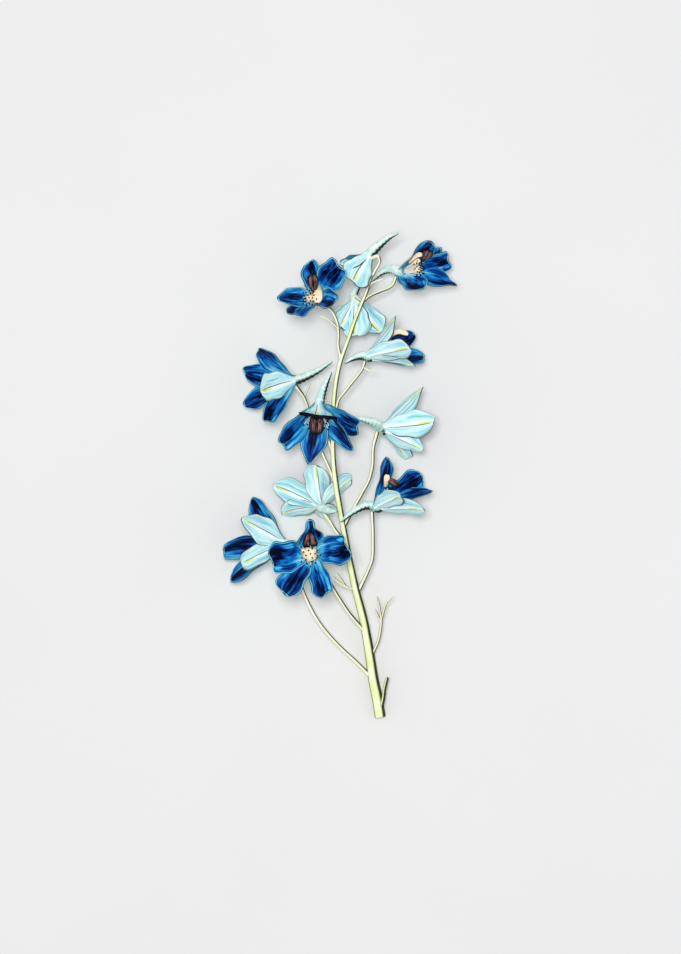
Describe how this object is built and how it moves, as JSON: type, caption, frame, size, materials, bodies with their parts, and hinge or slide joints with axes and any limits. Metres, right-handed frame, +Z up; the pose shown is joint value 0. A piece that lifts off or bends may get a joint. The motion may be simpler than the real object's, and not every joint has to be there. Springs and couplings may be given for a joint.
{
  "type": "delphinium flower spike",
  "caption": "Cut flower spike lying on its back: a thin green stem with open blue-violet blooms, each with a curved wrinkled spur, a dark bearded centre and cream stamens.",
  "frame": {"origin": "centre of the spike's outline on the surface that it lies on", "axes": "+Y from the cut end to the top bloom, +X across the spike, +Z up from the surface toward the viewer"},
  "size_m": [0.0994, 0.204, 0.0333],
  "materials": {
    "stem": "matt fresh green plant tissue",
    "sepals": "satin petal, deep blue with dark veins and a pale blue edge, pale aqua behind",
    "dark_petals": "velvety dark brown with short hairs",
    "cream_parts": "matt cream, with near-black anthers"
  },
  "bodies": {
    "root": {"stem": "stem", "bloom_01_calyx": "sepals", "bloom_01_bee": "dark_petals", "bloom_01_heart": "cream_parts", "bloom_02_calyx": "sepals", "bloom_02_bee": "dark_petals", "bloom_02_heart": "cream_parts", "bloom_03_calyx": "sepals", "bloom_03_bee": "dark_petals", "bloom_03_heart": "cream_parts", "bloom_04_calyx": "sepals", "bloom_04_bee": "dark_petals", "bloom_04_heart": "cream_parts", "bloom_05_calyx": "sepals", "bloom_05_bee": "dark_petals", "bloom_05_heart": "cream_parts", "bloom_06_calyx": "sepals", "bloom_06_bee": "dark_petals", "bloom_06_heart": "cream_parts", "bloom_07_calyx": "sepals", "bloom_07_bee": "dark_petals", "bloom_07_heart": "cream_parts", "bloom_08_calyx": "sepals", "bloom_08_bee": "dark_petals", "bloom_08_heart": "cream_parts", "bloom_09_calyx": "sepals", "bloom_09_bee": "dark_petals", "bloom_09_heart": "cream_parts", "bloom_10_calyx": "sepals", "bloom_10_bee": "dark_petals", "bloom_10_heart": "cream_parts", "bloom_11_calyx": "sepals", "bloom_11_bee": "dark_petals", "bloom_11_heart": "cream_parts", "bloom_12_calyx": "sepals", "bloom_12_bee": "dark_petals", "bloom_12_heart": "cream_parts"}
  },
  "joints": []
}
